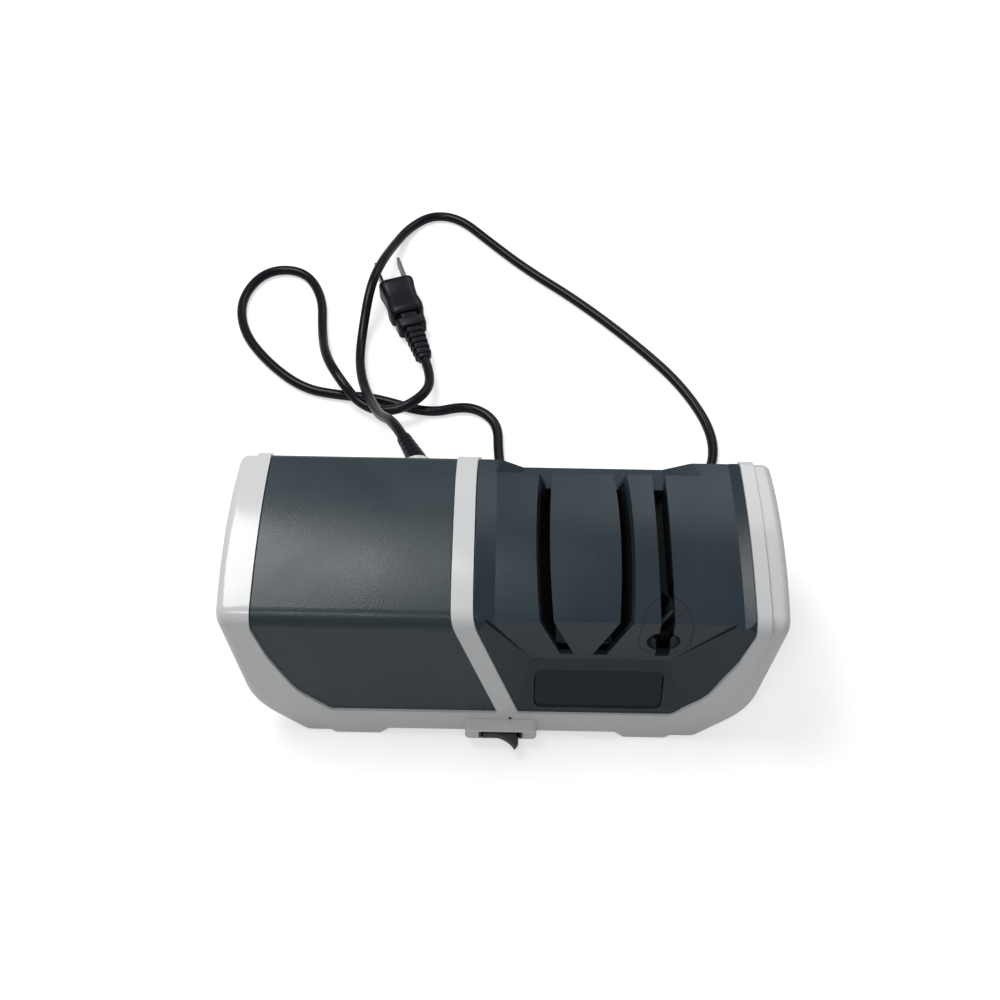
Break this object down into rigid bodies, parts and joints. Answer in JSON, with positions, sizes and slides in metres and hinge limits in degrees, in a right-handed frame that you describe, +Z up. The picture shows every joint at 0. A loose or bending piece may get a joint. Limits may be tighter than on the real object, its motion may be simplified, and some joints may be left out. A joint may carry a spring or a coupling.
{
  "type": "electric knife sharpener",
  "caption": "Free-standing electric knife sharpener: motor half, slotted guide half with a scooped front and a filings tray, front rocker switch and rear cord with plug.",
  "frame": {"origin": "on the table under the middle of the housing; the free cord and plug are left out", "axes": "+X along the housing's length, from the motor half to the guide half; +Y towards the cord; +Z up"},
  "size_m": [0.2593, 0.3271, 0.0778],
  "materials": {
    "housing_white": "satin moulding",
    "cover_grey": "satin moulding",
    "guide_grey": "satin moulding",
    "insert_grey": "fine texture",
    "guide_black": "matt",
    "ceramic": "glazed ceramic",
    "tray_grey": "satin moulding",
    "base_grey": "matt",
    "foot_rubber": "matt",
    "steel": "bright",
    "can_steel": "zinc plated",
    "bronze": "plain",
    "magnet": "sintered",
    "copper": "lacquered",
    "fan_plastic": "moulded",
    "grinding_wheel": "bonded grit",
    "switch_black": "fine texture",
    "cord_black": "smooth",
    "prong": "nickel plated"
  },
  "bodies": {
    "housing": {"white_frame": "housing_white", "motor_cover": "cover_grey", "guide_cover": "guide_grey", "fine_insert": "insert_grey", "centre_guide": "guide_black", "left_guide": "guide_black", "right_guide": "guide_black", "fine_guide": "guide_black", "rod_holder": "guide_black", "front_rod": "ceramic", "rear_rod": "ceramic", "base_plate": "base_grey", "left_front_foot": "foot_rubber", "left_back_foot": "foot_rubber", "right_front_foot": "foot_rubber", "right_back_foot": "foot_rubber", "base_screws": "steel", "motor_can": "can_steel", "rear_bell": "guide_black", "front_bell": "guide_black", "rear_bush": "bronze", "front_bush": "bronze", "field_magnets": "magnet", "carbon_brushes": "magnet", "brush_holders": "bronze", "bulkhead": "base_grey", "spindle_bearing": "bronze", "motor_cradle": "base_grey", "motor_strap": "can_steel", "switch_body": "switch_black", "switch_terminals": "bronze", "cord_relief": "cord_black", "cord": "cord_black", "plug_body": "cord_black", "plug_prongs": "prong"},
    "tray": {"filings_tray": "tray_grey"},
    "spindle": {"motor_shaft": "steel", "armature_core": "can_steel", "left_winding": "copper", "right_winding": "copper", "commutator": "copper", "cooling_fan": "fan_plastic", "left_wheel": "grinding_wheel", "right_wheel": "grinding_wheel", "wheel_spacer": "steel", "wheel_collar": "steel", "wheel_nut": "steel"},
    "rocker": {"rocker": "switch_black"}
  },
  "joints": [
    {"name": "wheel_spin", "type": "hinge", "parent": "housing", "child": "spindle", "pos_m": [0, 0.002, 0.044], "axis": [1, 0, 0], "continuous": true},
    {"name": "rocker_tilt", "type": "hinge", "parent": "housing", "child": "rocker", "pos_m": [0, -0.054, 0.0077], "axis": [0, 0, 1], "range_deg": [0, 24]},
    {"name": "tray_slide", "type": "slide", "parent": "housing", "child": "tray", "axis": [0, -1, 0], "range_m": [0, 0.05]}
  ]
}
